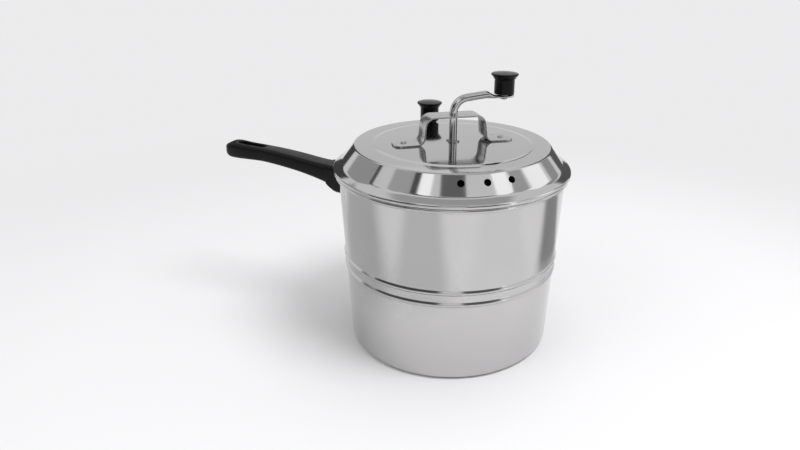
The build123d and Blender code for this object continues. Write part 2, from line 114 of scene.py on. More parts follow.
class FinishSettings(bpy.types.PropertyGroup):
    """Finishes"""

    steel_colour: colour("Steel", "Colour of the polished steel", (0.575, 0.57, 0.57))
    pan_roughness: share("Pan roughness", "Roughness of the pan's satin polish", 0.125)
    lid_roughness: share("Lid roughness", "Roughness of the lid's bright polish", 0.085)
    plating_colour: colour("Plating", "Colour of the plated rod and fasteners", (0.6, 0.6, 0.605))
    handle_colour: colour("Handle", "Colour of the handle's moulding", (0.0045, 0.0045, 0.005))
    handle_roughness: share("Handle roughness", "Roughness of the handle's moulded skin", 0.36)
    knob_colour: colour("Knob", "Colour of the knobs' moulding", (0.002, 0.002, 0.0023))
    knob_roughness: share("Knob roughness", "Roughness of the knobs' moulded skin", 0.2)


class PanSizes(bpy.types.PropertyGroup):
    """Pan"""

    base_radius: size("Base radius", "Outside radius where the wall would meet the floor", 101.1)
    flare: FloatProperty(name="Flare", description="Radius gained for each unit of height", default=0.0558)
    wall: size("Wall", "Thickness of the sheet", 1.0)
    corner: size("Corner", "Outside radius between floor and wall", 5.0)
    rim_height: size("Rim height", "Top of the rolled rim", 176.0)
    roll: size("Roll", "Outside radius of the rolled rim", 2.2)
    low_bead: size("Low bead", "Height of the lower bead", 81.4)
    high_bead: size("High bead", "Height of the upper bead", 93.4)
    bead_half_width: size("Bead half width", "Half the height of a bead", 2.3)
    bead_proud: size("Bead proud", "How far a bead stands out from the wall", 1.5)


class LidSizes(bpy.types.PropertyGroup):
    """Lid"""

    sheet: size("Sheet", "Thickness of the sheet", 0.9)
    edge_radius: size("Edge radius", "Radius where the top meets the shoulder", 95.4)
    edge_height: size("Edge height", "Height where the top meets the shoulder", 201.5)
    ring_radius: size("Ring radius", "Radius of the embossed ring", 77.0)
    ring_rise: size("Ring rise", "Height of the step at the embossed ring", 0.6)
    crown: size("Crown", "Rise of the top inside the ring", 0.9)
    shoulder_radius: size("Shoulder radius", "Radius where the shoulder meets the brim", 108.1)
    brim_angle: turn("Brim angle", "Slope of the brim", 29.0)
    roll: size("Roll", "Outside radius of the rolled edge", 2.4)
    roll_radius: size("Roll radius", "Distance of the rolled edge's centre from the axis", 113.5)
    roll_height: size("Roll height", "Height of the rolled edge's centre", 178.4)
    turned: turn("Turned", "Angle from +X to the strap bracket", 32.5)
    vent: size("Vent", "Diameter of a vent hole", 6.5)
    vent_pitch: turn("Vent pitch", "Angle between two vent holes", 13.2)
    vent_drop: share("Vent drop", "How far down the shoulder the vents lie", 0.4)
    vents: IntProperty(name="Vents", description="Number of vent holes", default=3, min=1)


class StrapSizes(bpy.types.PropertyGroup):
    """Strap bracket"""

    width: size("Width", "Width of the strap", 22.0)
    sheet: size("Sheet", "Thickness of the strap", 1.5)
    reach: size("Reach", "Distance of a foot's end from the axis", 60.0)
    leg_foot: size("Leg foot", "Distance of a leg from the axis at the lid", 32.0)
    leg_top: size("Leg top", "Distance of a leg from the axis at the bar", 30.0)
    top_height: size("Top height", "Height of the bar's top", 229.8)
    top_bend: size("Top bend", "Outside radius of the upper bends", 10.0)
    foot_bend: size("Foot bend", "Radius of the bends at the feet", 6.0)
    corner: size("Corner", "Radius of the feet's corners", 8.0)


class CrankSizes(bpy.types.PropertyGroup):
    """Crank rod"""

    radius: size("Radius", "Radius of the rod", 3.85)
    bottom: size("Bottom", "Height of the rod's lower end", 5.0)
    arm_foot: size("Arm foot", "Height where the rising arm would meet the rod's axis", 243.8)
    arm_height: size("Arm height", "Height of the arm's end", 247.5)
    bend: size("Bend", "Radius of the bend at the rod's centre line", 15.0)
    coin_start: size("Coin start", "Distance from the axis where the rod begins to flatten", 32.0)
    coin_end: size("Coin end", "Distance from the axis where the eye begins", 41.0)
    eye_drop: size("Eye drop", "How far the eye lies below the arm's end", 2.0)
    eye_width: size("Eye width", "Width of the flattened eye", 13.0)
    eye_sheet: size("Eye sheet", "Thickness of the flattened eye", 3.0)
    eye_tip: size("Eye tip", "Distance of the eye's end from the axis", 61.0)


class KnobSizes(bpy.types.PropertyGroup):
    """Knobs"""

    foot: size("Foot", "Radius of the foot", 9.9)
    neck: size("Neck", "Radius at the top of the column", 9.8)
    neck_height: size("Neck height", "Height of the column", 14.2)
    ring: size("Ring", "Radius of the ring under the cap", 11.5)
    ring_height: size("Ring height", "Height of the ring's upper edge", 16.2)
    cap: size("Cap", "Radius of the cap", 13.4)
    cap_height: size("Cap height", "Height of the cap's lower edge", 18.0)
    rim_height: size("Rim height", "Height of the cap's upper edge", 19.2)
    edge: size("Edge", "Bevel between the cap's rim and its top", 0.5)
    height: size("Height", "Whole height of a knob", 20.6)
    insert: size("Insert", "Radius of the metal insert", 3.6)


class HandleSizes(bpy.types.PropertyGroup):
    """Handle"""

    guard_end: size("Guard end", "Distance of the seam from the pan's axis", 131.6)
    tip: size("Tip", "Distance of the handle's end from the pan's axis", 248.8)
    corner: size("Corner", "Radius of the section's corners", 4.4)
    slot_length: size("Slot length", "Length of the hanging slot", 31.0)
    slot_width: size("Slot width", "Width of the hanging slot", 8.5)
    slot_reach: size("Slot reach", "Distance of the slot's middle from the pan's axis", 221.0)
    slot_flare: size("Slot flare", "Rounding of the slot's rims", 0.8)
    screw_reach: size("Screw reach", "Distance of the screw from the pan's axis", 143.0)
    screw_pocket: size("Screw pocket", "Radius of the pocket round the screw's head", 4.2)
    screw_seat: size("Screw seat", "Height of the pocket's floor", 153.6)


class StageSettings(bpy.types.PropertyGroup):
    """Stage"""

    camera_azimuth: turn("Camera azimuth", "Direction of the camera round the pan", 15.0)
    camera_distance: size("Camera distance", "Level distance from the pan's axis to the camera", 631.8)
    camera_height: size("Camera height", "Height of the camera above the floor", 381.5)
    aim_height: size("Aim height", "Height of the point that the camera looks at", 144.9)
    roll: turn("Camera roll", "How far the camera leans", 1.32)
    focal_pixels: FloatProperty(name="Focal length", description="Focal length in image pixels", default=673.0)
    shift_x: FloatProperty(name="Shift across", description="Camera shift across", default=-0.0644)
    shift_y: FloatProperty(name="Shift up", description="Camera shift up", default=-0.035)
    backdrop: colour("Backdrop", "Colour of the floor and of the room", (0.84, 0.833, 0.845))
    room_light: FloatProperty(name="Room light", description="Strength of the even light", default=0.59, min=0.0)


SETTINGS = {
    "popper_finish": FinishSettings,
    "popper_pan": PanSizes,
    "popper_lid": LidSizes,
    "popper_strap": StrapSizes,
    "popper_crank": CrankSizes,
    "popper_knob": KnobSizes,
    "popper_handle": HandleSizes,
    "popper_stage": StageSettings,
}


# ---- materials ----
class Value:
    """A number that varies over a surface: arithmetic on it adds Math nodes to its material."""

    def __init__(self, finish, socket):
        self.finish = finish
        self.socket = socket

    def math(self, operation, *others):
        """A Math node on this value and up to two more values or numbers."""
        return self.finish.node("ShaderNodeMath", {"operation": operation}, self, *others)["Value"]

    def __add__(self, other):
        return self.math("ADD", other)

    def __sub__(self, other):
        return self.math("SUBTRACT", other)

    def __rsub__(self, other):
        return (self * -1.0) + other

    def __mul__(self, other):
        return self.math("MULTIPLY", other)

    def __truediv__(self, other):
        return self.math("DIVIDE", other)

    def __rtruediv__(self, other):
        return self.math("POWER", -1.0) * other

    def __abs__(self):
        return self.math("ABSOLUTE")

    __radd__ = __add__
    __rmul__ = __mul__

    def ramp(self, low, high):
        """0 below one number, 1 above another, smooth between them."""
        settings = {"interpolation_type": "SMOOTHSTEP"}
        made = self.finish.node("ShaderNodeMapRange", settings, **{"Value": self, "From Min": low, "From Max": high})
        return made["Result"]


class Outputs:
    """The outputs of a node by name, as values."""

    def __init__(self, finish, node):
        self.finish = finish
        self.node = node

    def __getitem__(self, name):
        enabled = [socket for socket in self.node.outputs if socket.name == name and socket.enabled]
        return Value(self.finish, enabled[0])


class Finish:
    """A material, or the world, with short calls for its nodes."""

    def __init__(self, owner):
        self.owner = owner
        owner.use_nodes = True
        self.tree = owner.node_tree
        self.tree.nodes.clear()

    def node(self, kind, settings=None, *values, **named):
        """Add a node, give it its settings and then its sockets' values or links."""
        made = self.tree.nodes.new(kind)
        for key, setting in (settings or {}).items():
            setattr(made, key, setting)
        enabled = [socket for socket in made.inputs if socket.enabled]
        pairs = list(zip(enabled, values))
        for name, value in named.items():
            pairs.append(([socket for socket in enabled if socket.name == name][0], value))
        for socket, value in pairs:
            if isinstance(value, Value):
                self.tree.links.new(value.socket, socket)
            else:
                socket.default_value = value
        return Outputs(self, made)

    def place(self):
        """Object coordinates, whose zero is the row frame's."""
        return self.node("ShaderNodeTexCoord")["Object"]

    def noise(self, vector, scale, detail=3.0, roughness=0.5):
        """A noise value round 0.5."""
        inputs = {"Vector": vector, "Scale": scale, "Detail": detail, "Roughness": roughness}
        return self.node("ShaderNodeTexNoise", None, **inputs)["Fac"]

    def parts(self, vector):
        """The three numbers of a vector."""
        made = self.node("ShaderNodeSeparateXYZ", None, vector)
        return made["X"], made["Y"], made["Z"]

    def vector(self, x, y, z):
        """A vector from three numbers."""
        return self.node("ShaderNodeCombineXYZ", None, x, y, z)["Vector"]

    def blend(self, factor, first, second):
        """A colour between two colours."""
        settings = {"data_type": "RGBA"}
        return self.node("ShaderNodeMix", settings, **{"Factor": factor, "A": first, "B": second})["Result"]

    def bump(self, height, depth):
        """A normal from a height in metres of relief."""
        made = self.node("ShaderNodeBump", None, **{"Height": height, "Distance": depth})
        return made["Normal"]

    def surface(self, **sockets):
        """The Principled shader, wired to the output."""
        shader = self.node("ShaderNodeBsdfPrincipled", None, **sockets)["BSDF"]
        self.node("ShaderNodeOutputMaterial", None, Surface=shader)


def shaded(base, factor=1.0):
    """A colour with its alpha, lighter or darker by a factor."""
    return (*[min(part * factor, 1.0) for part in base], 1.0)


def around(finish, centre=(0.0, 0.0)):
    """The angle round a vertical axis, the distance from it and the height."""
    x, y, z = finish.parts(finish.place())
    x = x - centre[0]
    y = y - centre[1]
    return y.math("ARCTAN2", x), (x * x + y * y).math("SQRT"), z


def steel(name, base, rough, wave, streaks, grain=None):
    """Polished steel: waves in the sheet, clouded polish, scuffs, and fine lines round the axis or by the grain."""
    finish = Finish(bpy.data.materials.new(name))
    place = finish.place()
    if grain is None:
        angle, reach, height = around(finish)
        across = finish.vector(angle * 0.6, reach * 900.0, height * 900.0)
    else:
        turned = (0.0, 0.0, bpy.context.scene.popper_lid.turned)
        cell = [1.0 / scale for scale in grain]
        settings = {"vector_type": "TEXTURE"}
        across = finish.node("ShaderNodeMapping", settings, place, (0, 0, 0), turned, cell)["Vector"]
    lines = finish.noise(across, 1.0, 4.0, 0.7)
    cloud = finish.noise(place, 22.0, 3.0)
    smear = finish.noise(place, 90.0, 4.0, 0.6)
    scuff = finish.noise(place, 260.0, 5.0, 0.7).ramp(0.62, 0.74)
    roughness = (lines - 0.5) * streaks + (cloud - 0.5) * (rough * 0.5) + (smear - 0.5) * (rough * 0.25)
    shade = finish.blend(cloud, shaded(base, 0.96), shaded(base, 1.03))
    relief = finish.noise(place, 9.0, 2.0) * wave + lines * (streaks * 0.00002)
    roughness = roughness + scuff * (rough * 0.25) + rough
    look = {"Base Color": shade, "Metallic": 1.0, "Roughness": roughness}
    finish.surface(**look, Normal=finish.bump(relief, 1.0))
    return finish.owner


def plastic(name, base, rough, grain, specular, axis=None):
    """Moulded black plastic: skin grain, rubbed patches, and the mould's seam where the piece has an axis."""
    finish = Finish(bpy.data.materials.new(name))
    place = finish.place()
    skin = finish.noise(place, 1800.0, 2.0)
    rub = finish.noise(place, 30.0, 4.0, 0.6).ramp(0.45, 0.7)
    roughness = (skin - 0.5) * 0.1 + rub * -0.05 + rough
    shade = finish.blend(rub, shaded(base), shaded(base, 1.6))
    relief = skin * grain
    if axis is not None:
        x, y, _ = finish.parts(place)
        off_seam = abs((x - axis[0]) * 0.5 + (y - axis[1]) * 0.866)
        relief = relief + (1.0 - off_seam.ramp(0.00005, 0.0003)) * 0.00004
    look = {"Base Color": shade, "Roughness": roughness, "Specular IOR Level": specular}
    finish.surface(**look, Normal=finish.bump(relief, 1.0))
    return finish.owner


# ---- meshes ----
def wire(bm, corners, bends, steps=6):
    """A wire in the XZ plane through corners, with an arc of a given radius at each inner corner."""
    verts = [bm.verts.new((x, 0.0, z)) for x, z in corners]
    for pair in zip(verts, verts[1:]):
        bm.edges.new(pair)
    for vert, radius in zip(verts[1:-1], bends):
        first, second = (edge.other_vert(vert).co - vert.co for edge in vert.link_edges)
        round_corner(bm, vert, radius * tan((pi - first.angle(second)) / 2), steps)
    return verts[0], verts[-1]


def round_corner(bm, vert, reach, steps):
    """Put an arc in place of a corner, starting a given distance before it."""
    corner = {"geom": [vert, *vert.link_edges], "offset": reach, "offset_type": "OFFSET", "segments": steps}
    bmesh.ops.bevel(bm, **corner, profile=0.5, affect="VERTICES", material=-1)


def curl(bm, vert, centre, angle, steps):
    """Carry a wire on from its end round an arc in the XZ plane."""
    middle = (centre[0], 0.0, centre[1])
    bmesh.ops.spin(bm, geom=[vert], cent=middle, axis=(0, 1, 0), angle=angle, steps=steps, use_merge=False)


def full_turn(bm, steps, outwards):
    """Spin the whole wire round the Z axis, and face the farthest part along a direction that way."""
    wires = bm.verts[:] + bm.edges[:]
    bmesh.ops.spin(bm, geom=wires, cent=(0, 0, 0), axis=(0, 0, 1), angle=2 * pi, steps=steps, use_merge=True)
    bmesh.ops.remove_doubles(bm, verts=bm.verts[:], dist=1e-6)
    face_out(bm, outwards)


def face_out(bm, outwards):
    """Make all faces agree, and turn them so that the farthest one along a direction looks that way."""
    bmesh.ops.recalc_face_normals(bm, faces=bm.faces[:])
    along = Vector(outwards)
    farthest = max(bm.faces, key=lambda face: face.calc_center_median().dot(along) + face.normal.dot(along) ** 2 * MM)
    if farthest.normal.dot(along) < 0:
        bmesh.ops.reverse_faces(bm, faces=bm.faces[:])


def circle_ring(bm, radius, steps):
    """A closed ring of vertices in the YZ plane, in order."""
    upright = Matrix.Rotation(pi / 2, 4, "Y")
    made = bmesh.ops.create_circle(bm, cap_ends=False, segments=steps, radius=radius, matrix=upright)
    return walk(made["verts"][0])


def oblong_ring(bm, wide, high, corner, steps):
    """A closed ring in the YZ plane: a rectangle with round corners, its vertices in order."""
    corners = [bm.verts.new((0.0, y * wide / 2, z * high / 2)) for y, z in ((-1, -1), (1, -1), (1, 1), (-1, 1))]
    for pair in zip(corners, corners[1:] + corners[:1]):
        bm.edges.new(pair)
    for vert in corners:
        round_corner(bm, vert, corner, steps)
    bm.verts.ensure_lookup_table()
    return walk(bm.verts[-1])


def walk(start):
    """The vertices of a closed ring in order."""
    ring, edge = [start], start.link_edges[0]
    while True:
        after = edge.other_vert(ring[-1])
        if after == start:
            return ring
        ring.append(after)
        edge = next(each for each in after.link_edges if each != edge)


def ring_edges(bm, ring):
    """The edges of a closed ring."""
    return [bm.edges.get(pair) for pair in zip(ring, ring[1:] + ring[:1])]


def carried(bm, ring, move):
    """Extrude a closed ring by a matrix, and give the new vertices in the same order."""
    made = bmesh.ops.extrude_edge_only(bm, edges=ring_edges(bm, ring))["geom"]
    fresh = [each for each in made if isinstance(each, bmesh.types.BMVert)]
    beside = [[edge.other_vert(vert) for edge in vert.link_edges] for vert in ring]
    bmesh.ops.transform(bm, matrix=move, verts=fresh)
    return [next(vert for vert in row if vert in fresh) for row in beside]


def close_ring(bm, ring):
    """Fill a closed ring with one face."""
    bmesh.ops.edgeloop_fill(bm, edges=ring_edges(bm, ring))


def through(bm, ring, stations, unit):
    """Carry a ring of unit size through stations of (centre, tilt, width, height), and close both ends."""
    before = Matrix.Identity(4)
    first = None
    for centre, tilt, wide, high in stations:
        shape = Matrix.Diagonal((1.0, wide / unit[0], high / unit[1], 1.0))
        now = Matrix.Translation(centre) @ Matrix.Rotation(-tilt, 4, "Y") @ shape
        move = now @ before.inverted()
        if first is None:
            bmesh.ops.transform(bm, matrix=move, verts=ring)
            first = ring
        else:
            ring = carried(bm, ring, move)
        before = now
    close_ring(bm, first)
    close_ring(bm, ring)
    return first, ring


def piece(name, bm, body, material, stands_for, sharp=35.0):
    """Make an object of a finished bmesh, give it its finish and join it to the frame."""
    mesh = bpy.data.meshes.new(name)
    bm.to_mesh(mesh)
    bm.free()
    made = bpy.data.objects.new(name, mesh)
    bpy.context.scene.collection.objects.link(made)
    mesh.shade_smooth()
    mesh.set_sharp_from_angle(angle=radians(sharp))
    mesh.materials.append(material)
    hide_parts(*stands_for)
    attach(made, body)
    return made


def thicken(made, thickness, side):
    """Give a sheet its thickness, to the side that its faces point to, or with -1 to the other."""
    solid = made.modifiers.new("thickness", "SOLIDIFY")
    solid.thickness = thickness
    solid.offset = side
    solid.use_even_offset = True


def soften(made, width, sharper_than):
    """Round the edges of a piece that are sharper than an angle."""
    edge = made.modifiers.new("soft_edges", "BEVEL")
    edge.width = width
    edge.segments = 3
    edge.limit_method = "ANGLE"
    edge.angle_limit = radians(sharper_than)


def cut(made, tools):
    """Take a bmesh's shape out of a piece, and apply the piece's modifiers."""
    mesh = bpy.data.meshes.new("cutter")
    tools.to_mesh(mesh)
    tools.free()
    cutter = bpy.data.objects.new("cutter", mesh)
    bpy.context.scene.collection.objects.link(cutter)
    hole = made.modifiers.new("cut", "BOOLEAN")
    hole.operation = "DIFFERENCE"
    hole.solver = "EXACT"
    hole.object = cutter
    bpy.context.view_layer.update()
    graph = bpy.context.evaluated_depsgraph_get()
    finished = bpy.data.meshes.new_from_object(made.evaluated_get(graph))
    made.modifiers.clear()
    made.data = finished
    finished.set_sharp_from_angle(angle=radians(35.0))
    bpy.data.objects.remove(cutter)


def peg(tools, radius, depth, placed):
    """Add a round peg to a cutter."""
    round_peg = {"cap_ends": True, "segments": 40, "radius1": radius, "radius2": radius, "depth": depth}
    bmesh.ops.create_cone(tools, **round_peg, matrix=placed)


def lid_turn():
    """Rotation from +X to the strap bracket."""
    return Matrix.Rotation(bpy.context.scene.popper_lid.turned, 3, "Z")


def seat_of(node):
    """The middle of the underside of a CAD node."""
    low, high = (Vector(corner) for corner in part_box(node))
    return Vector(((low.x + high.x) / 2, (low.y + high.y) / 2, low.z))


def crown_of(lid):
    """Top height and sphere radius of the crowned part of the lid."""
    inner = lid.ring_radius - RING_HALF_SLOPE
    top = lid.edge_height + 0.1 * MM + lid.ring_rise + lid.crown
    return top, (inner**2 + lid.crown**2) / (2 * lid.crown)


def between(stations, reach):
    """Smooth values at a distance between stations of (distance, values...)."""
    last = len(stations) - 1
    here = max(i for i in range(last) if stations[i][0] <= reach or i == 0)
    ends = [stations[max(here - 1, 0)], stations[here], stations[here + 1], stations[min(here + 2, last)]]
    span = ends[2][0] - ends[1][0]
    t = (reach - ends[1][0]) / span
    values = []
    for column in range(1, len(stations[0])):
        before, low, high, after = (row[column] for row in ends)
        low_slope = (high - before) / (ends[2][0] - ends[0][0]) * span
        high_slope = (after - low) / (ends[3][0] - ends[1][0]) * span
        level = low * (2 * t**3 - 3 * t**2 + 1) + high * (3 * t**2 - 2 * t**3)
        values.append(level + low_slope * (t**3 - 2 * t**2 + t) + high_slope * (t**3 - t**2))
    return values


# ---- operators ----
def pan_steel():
    """Satin finish of the pan."""
    looks = bpy.context.scene.popper_finish
    return steel("pan_steel", looks.steel_colour, looks.pan_roughness, wave=0.0005, streaks=0.06)


def lid_steel():
    """Bright finish of the lid."""
    looks = bpy.context.scene.popper_finish
    return steel("lid_steel", looks.steel_colour, looks.lid_roughness, wave=0.00022, streaks=0.04)


def strap_steel():
    """Finish of the strap, polished along its length."""
    looks = bpy.context.scene.popper_finish
    shade = [part * 0.92 for part in looks.steel_colour]
    return steel("strap_steel", shade, 0.26, wave=0.00012, streaks=0.1, grain=(30, 900, 30))


def rod_plating():
    """Bright plating of the rod."""
    looks = bpy.context.scene.popper_finish
    return steel("rod_plating", looks.plating_colour, 0.1, wave=0.00006, streaks=0.04, grain=(400, 400, 25))


def handle_moulding():
    """Skin of the handle."""
    looks = bpy.context.scene.popper_finish
    return plastic("handle_moulding", looks.handle_colour, looks.handle_roughness, grain=0.00001, specular=0.22)


def knob_moulding(name, axis):
    """Skin of a knob, with its mould's seam."""
    looks = bpy.context.scene.popper_finish
    return plastic(name, looks.knob_colour, looks.knob_roughness, grain=0.000004, specular=0.15, axis=axis)


class PopperFinishes(bpy.types.Operator):
    """Gives every CAD node that stays its finish"""

    bl_idname = "popper.finishes"
    bl_label = "Finishes of the CAD nodes"

    def execute(self, context):
        looks = context.scene.popper_finish
        dull = [part * 0.85 for part in looks.plating_colour]
        made = {
            "pan_steel": pan_steel(),
            "lid_steel": lid_steel(),
            "strap_steel": strap_steel(),
            "rivet_steel": steel(
                "rivet_steel", looks.steel_colour, 0.16, wave=0.00005, streaks=0.05, grain=(500, 500, 500)
            ),
            "rod_steel": rod_plating(),
            "stirrer_steel": steel("stirrer_wire", dull, 0.24, wave=0.0001, streaks=0.06, grain=(60, 60, 60)),
            "fastener_steel": steel(
                "fastener_plating", dull, 0.2, wave=0.00004, streaks=0.06, grain=(700, 700, 120)
            ),
            "handle_phenolic": handle_moulding(),
            "knob_phenolic": knob_moulding("collar_moulding", (0.0, 0.0)),
        }
        slots = {row["node"]: row["material_slot"] for row in frame["record"]["subparts"]}
        for name, node in frame["nodes"].items():
            node.material_slots[0].material = made[slots[name]]
        return {"FINISHED"}


class PopperPan(bpy.types.Operator):
    """Pressed pan with two swaged beads and a rolled rim"""

    bl_idname = "popper.pan"
    bl_label = "Pan"

    def execute(self, context):
        pan = context.scene.popper_pan

        def inner(height):
            return pan.base_radius + pan.flare * height - pan.wall

        corners = [(0.0, pan.wall), (inner(0.0), pan.wall)]
        bends = [pan.corner - pan.wall]
        for height in (pan.low_bead, pan.high_bead):
            for step, proud in ((-1, 0.0), (0, pan.bead_proud), (1, 0.0)):
                level = height + step * pan.bead_half_width
                corners.append((inner(level) + proud, level))
                bends.append(BEAD_CREST_BEND if proud else BEAD_FOOT_BEND)
        roll_height = pan.rim_height - pan.roll
        corners.append((inner(roll_height), roll_height))
        bm = bmesh.new()
        _, end = wire(bm, corners, bends)
        curl(bm, end, (inner(roll_height) + pan.roll, roll_height), PAN_ROLL_TURN, ROLL_STEPS)
        full_turn(bm, PAN_STEPS, (0, 0, -1))
        made = piece("pan_body", bm, "pot", pan_steel(), ["pot_shell"])
        thicken(made, pan.wall, 1.0)
        return {"FINISHED"}


class PopperLid(bpy.types.Operator):
    """Pressed lid with its embossed ring, steep shoulder, sloping brim, rolled edge and vents"""

    bl_idname = "popper.lid"
    bl_label = "Lid"

    def execute(self, context):
        lid = context.scene.popper_lid
        top, sphere = crown_of(lid)
        ring_top = top - lid.crown
        inner = lid.ring_radius - RING_HALF_SLOPE
        touch_radius = lid.roll_radius + lid.roll * sin(lid.brim_angle)
        touch_height = lid.roll_height + lid.roll * cos(lid.brim_angle)
        shoulder_height = touch_height + (touch_radius - lid.shoulder_radius) * tan(lid.brim_angle)
        bm = bmesh.new()
        corners = [
            (inner, ring_top),
            (lid.ring_radius + RING_HALF_SLOPE, ring_top - lid.ring_rise),
            (lid.edge_radius, lid.edge_height),
            (lid.shoulder_radius, shoulder_height),
            (touch_radius, touch_height),
        ]
        first, end = wire(bm, corners, LID_BENDS, 8)
        curl(bm, first, (0.0, top - sphere), -asin(inner / sphere), 24)
        curl(bm, end, (lid.roll_radius, lid.roll_height), LID_ROLL_TURN, ROLL_STEPS)
        full_turn(bm, LID_STEPS, (0, 0, 1))
        made = piece("lid_body", bm, "lid", lid_steel(), ["lid_shell"])
        thicken(made, lid.sheet, -1.0)
        rise = lid.edge_height - shoulder_height
        run = lid.shoulder_radius - lid.edge_radius
        middle = Vector((lid.edge_radius + lid.vent_drop * run, 0.0, lid.edge_height - lid.vent_drop * rise))
        tilt = Vector((rise, 0.0, run)).to_track_quat("Z", "Y").to_matrix().to_4x4()
        tools = bmesh.new()
        for vent in range(lid.vents):
            angle = lid.turned - pi / 2 + (vent - (lid.vents - 1) / 2) * lid.vent_pitch
            placed = Matrix.Rotation(angle, 4, "Z") @ Matrix.Translation(middle) @ tilt
            peg(tools, lid.vent / 2, 10 * MM, placed)
        cut(made, tools)
        return {"FINISHED"}


class PopperStrap(bpy.types.Operator):
    """Strap bracket bent from sheet, with rounded feet and a hole for the rod"""

    bl_idname = "popper.strap"
    bl_label = "Strap bracket"

    def execute(self, context):
        strap, crank = context.scene.popper_strap, context.scene.popper_crank
        crown, sphere = crown_of(context.scene.popper_lid)
        middle = (strap.reach + strap.leg_foot) / 2
        seat = crown - sphere + sqrt(sphere**2 - middle**2) + strap.sheet
        foot = [(reach, seat - middle / sphere * (reach - middle)) for reach in (strap.reach, strap.leg_foot)]
        half = [*foot, (strap.leg_top, strap.top_height)]
        bends = [strap.foot_bend, strap.top_bend]
        bm = bmesh.new()
        wire(bm, [(-x, z) for x, z in half] + half[::-1], bends + bends[::-1], 10)
        bmesh.ops.translate(bm, verts=bm.verts[:], vec=(0, -strap.width / 2, 0))
        made = bmesh.ops.extrude_edge_only(bm, edges=bm.edges[:])["geom"]
        fresh = [each for each in made if isinstance(each, bmesh.types.BMVert)]
        bmesh.ops.translate(bm, verts=fresh, vec=(0, strap.width, 0))
        for vert in [vert for vert in bm.verts if len(vert.link_faces) == 1]:
            round_corner(bm, vert, strap.corner, 8)
        bmesh.ops.rotate(bm, verts=bm.verts[:], cent=(0, 0, 0), matrix=lid_turn())
        face_out(bm, (0, 0, 1))
        made = piece("strap_body", bm, "lid", strap_steel(), ["lid_bracket"])
        thicken(made, strap.sheet, -1.0)
        soften(made, STRAP_EDGE, 50.0)
        tools = bmesh.new()
        peg(tools, crank.radius + ROD_PLAY, 8 * MM, Matrix.Translation((0, 0, strap.top_height)))
        cut(made, tools)
        return {"FINISHED"}


class PopperCrank(bpy.types.Operator):
    """Rod, bent over above the strap and coined flat at its end"""

    bl_idname = "popper.crank"
    bl_label = "Crank rod"

    def execute(self, context):
        crank = context.scene.popper_crank
        slope = atan((crank.arm_height - crank.arm_foot) / crank.coin_start)
        spread = crank.bend * tan((pi / 2 - slope) / 2)
        across = 2 * crank.radius
        stations = [
            ((0, 0, crank.bottom), pi / 2, across * ROD_END_SHARE, across * ROD_END_SHARE),
            ((0, 0, crank.bottom + ROD_CHAMFER), pi / 2, across, across),
            ((0, 0, crank.arm_foot - spread), pi / 2, across, across),
        ]
        for step in range(1, BEND_STEPS + 1):
            swung = (pi / 2 - slope) * step / BEND_STEPS
            place = (crank.bend * (1 - cos(swung)), 0, crank.arm_foot - spread + crank.bend * sin(swung))
            stations.append((place, pi / 2 - swung, across, across))
        eye_high = crank.eye_sheet * EYE_SWELL
        for step in range(COIN_STEPS + 1):
            part = step / COIN_STEPS
            ease = part * part * (3 - 2 * part)
            reach = crank.coin_start + (crank.coin_end - crank.coin_start) * part
            place = (reach, 0, crank.arm_height - crank.eye_drop * ease)
            wide = across + (crank.eye_width - across) * ease
            stations.append((place, slope * (1 - ease), wide, across + (eye_high - across) * ease))
        eye_height = crank.arm_height - crank.eye_drop
        half = crank.eye_width / 2
        for step in range(EYE_STEPS):
            swung = pi / 2 * step / EYE_STEPS
            place = (crank.eye_tip - half + half * sin(swung), 0, eye_height)
            stations.append((place, 0.0, crank.eye_width * cos(swung), eye_high))
        bm = bmesh.new()
        through(bm, circle_ring(bm, crank.radius, 40), stations, (across, across))
        low, high = eye_height - crank.eye_sheet / 2, eye_height + crank.eye_sheet / 2
        for vert in bm.verts:
            if vert.co.x > crank.coin_end - 1e-6:
                vert.co.z = min(max(vert.co.z, low), high)
        bmesh.ops.rotate(bm, verts=bm.verts[:], cent=(0, 0, 0), matrix=lid_turn())
        bmesh.ops.recalc_face_normals(bm, faces=bm.faces[:])
        piece("rod_body", bm, "crank", rod_plating(), ["crank_rod"])
        return {"FINISHED"}


class PopperKnobs(bpy.types.Operator):
    """The turning knob and the fixed knob, of one pattern"""

    bl_idname = "popper.knobs"
    bl_label = "Knobs"

    def execute(self, context):
        for body, node in (("crank_knob", "crank_knob"), ("lid", "lid_knob")):
            name = node + "_body"
            seat = seat_of(node)
            bm = self.knob(context.scene.popper_knob)
            bmesh.ops.translate(bm, verts=bm.verts[:], vec=seat)
            piece(name, bm, body, knob_moulding(name, (seat.x, seat.y)), [node], 30.0)
        return {"FINISHED"}

    def knob(self, knob):
        """The spun shape, standing on the origin."""
        dome = knob.cap - 2 * knob.edge
        dome_foot = knob.rim_height + knob.edge
        rise = knob.height - dome_foot
        sphere = (dome**2 + rise**2) / (2 * rise)
        bm = bmesh.new()
        corners = [
            (knob.insert, 0.0),
            (knob.foot, 0.0),
            (knob.neck, knob.neck_height),
            (knob.ring - 0.7 * MM, knob.neck_height + 0.6 * MM),
            (knob.ring, knob.ring_height),
            (knob.cap - 0.3 * MM, knob.cap_height),
            (knob.cap, knob.rim_height),
            (dome, dome_foot),
        ]
        _, end = wire(bm, corners, KNOB_BENDS, 4)
        curl(bm, end, (0.0, knob.height - sphere), -asin(dome / sphere), 12)
        full_turn(bm, 96, (0, 0, 1))
        return bm


